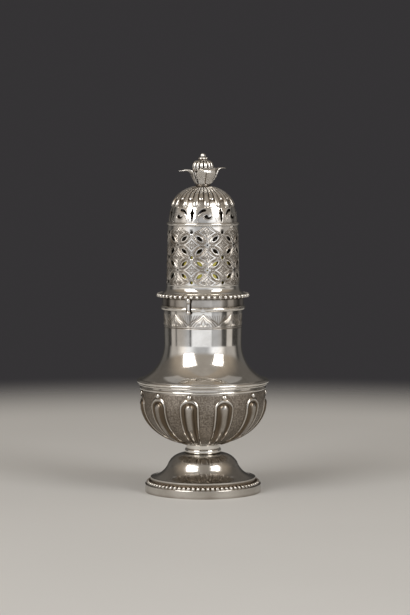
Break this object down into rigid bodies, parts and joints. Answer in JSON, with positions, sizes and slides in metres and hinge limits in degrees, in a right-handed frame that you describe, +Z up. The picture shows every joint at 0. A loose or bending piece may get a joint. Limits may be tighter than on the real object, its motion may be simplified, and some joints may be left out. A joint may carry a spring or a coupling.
{
  "type": "sugar caster",
  "caption": "Silver sugar caster: gadrooned bowl on a beaded bell foot, concave neck, and a pierced, fluted domed cover with a leaf finial, held by a bayonet.",
  "frame": {"origin": "centre of the foot's standing plane", "axes": "+Z up along the caster's axis; the pictured front faces -Y"},
  "size_m": [0.0782, 0.0782, 0.1999],
  "materials": {
    "silver": "polished silver with dark patina in the recesses",
    "gilt": "polished gilding",
    "brass": "plain turned brass"
  },
  "bodies": {
    "vessel": {"foot_rim": "silver", "foot_beads": "silver", "foot_dome": "silver", "stem": "silver", "stem_ring": "silver", "bowl": "silver", "gadroons": "silver", "gadroon_pearls": "silver", "bowl_moulding": "silver", "neck": "silver", "rim_band": "silver", "bayonet_ring": "silver"},
    "sleeve": {"inner_sleeve": "gilt"},
    "cover": {"cover_flange": "silver", "cover_beads": "silver", "bayonet_lugs": "silver", "pierced_cylinder": "silver", "dome_rim": "silver", "dome_gallery": "silver", "dome_cap": "silver", "finial_collar": "silver", "finial_cup": "silver", "finial_leaves": "silver", "finial_bud": "silver", "finial_berries": "silver", "finial_tip": "silver", "finial_stud": "brass", "finial_nut": "brass"}
  },
  "joints": [
    {"name": "cover_turn", "type": "hinge", "parent": "vessel", "child": "sleeve", "pos_m": [0, 0, 0.115], "axis": [0, 0, 1], "continuous": true},
    {"name": "cover_lift", "type": "slide", "parent": "sleeve", "child": "cover", "axis": [0, 0, 1], "range_m": [0, 0.06]}
  ]
}
